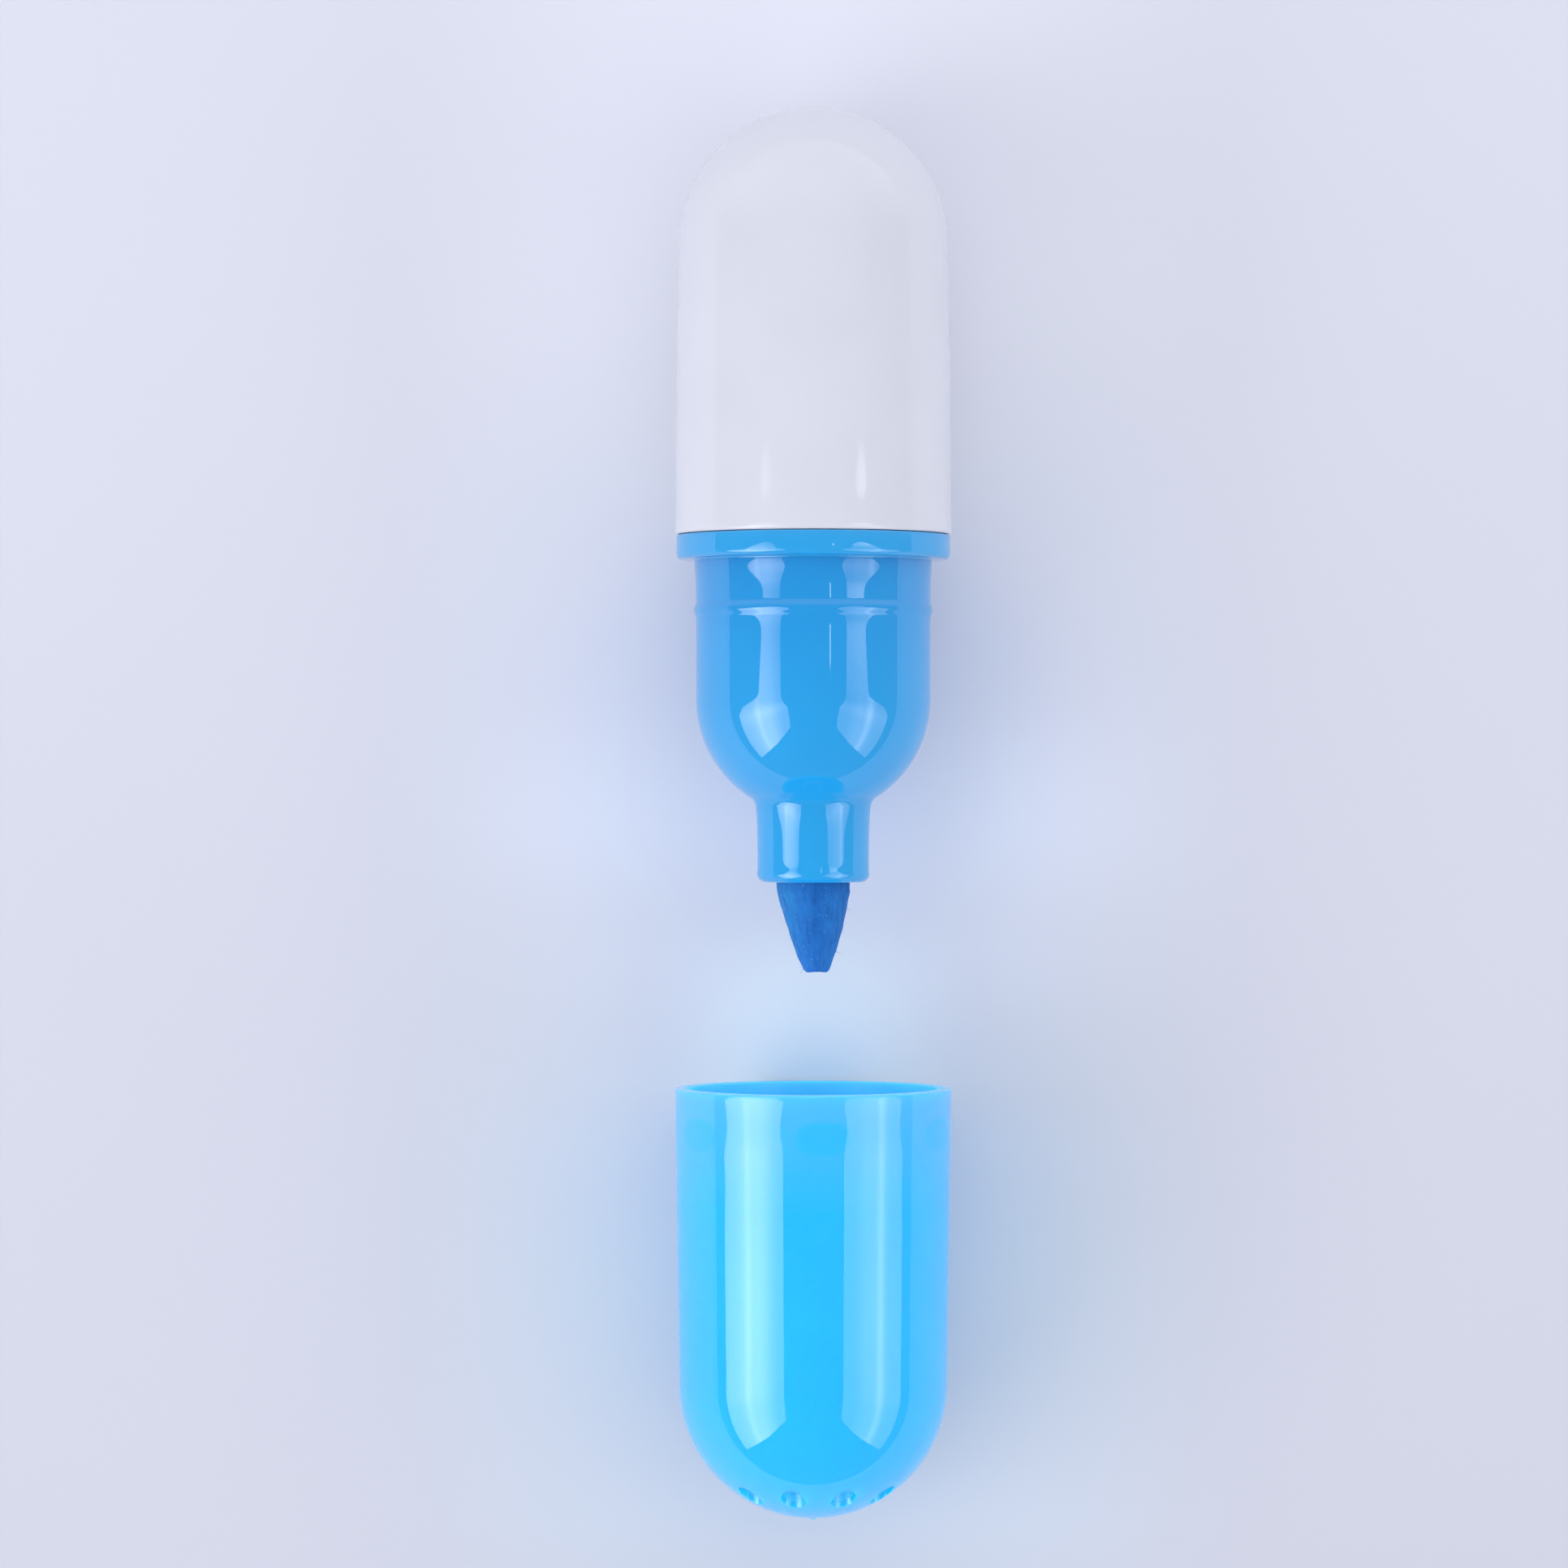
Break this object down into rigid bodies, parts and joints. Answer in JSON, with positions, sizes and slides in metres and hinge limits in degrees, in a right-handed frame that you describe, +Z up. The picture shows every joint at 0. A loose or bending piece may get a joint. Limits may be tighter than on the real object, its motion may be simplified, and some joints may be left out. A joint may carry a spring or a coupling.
{
  "type": "felt-tip marker",
  "caption": "Small capsule-shaped felt-tip marker with a domed barrel, a tapered felt nib and a see-through vented cap that pulls off along the axis.",
  "frame": {"origin": "on the surface the marker lies on, under the middle of the whole lot: half way between the barrel's dome end and the cap's dome end, with the cap off as drawn", "axes": "Y is the marker's long axis: +Y points to the barrel's domed end, -Y to the nib and the cap. Z is up from the surface, and X is across"},
  "size_m": [0.0202, 0.1028, 0.0202],
  "materials": {
    "barrel_white": "satin",
    "section_blue": "gloss",
    "cap_cyan": "gloss",
    "nib_felt": "matte",
    "reservoir_fibre": "matte",
    "film_clear": "gloss"
  },
  "bodies": {
    "pen": {"barrel": "barrel_white", "front_section": "section_blue", "nib": "nib_felt", "ink_reservoir": "reservoir_fibre", "reservoir_film": "film_clear"},
    "cap": {"cap": "cap_cyan"}
  },
  "joints": [
    {"name": "cap_slide", "type": "slide", "parent": "pen", "child": "cap", "axis": [0, 1, 0], "range_m": [0, 0.03825]}
  ]
}
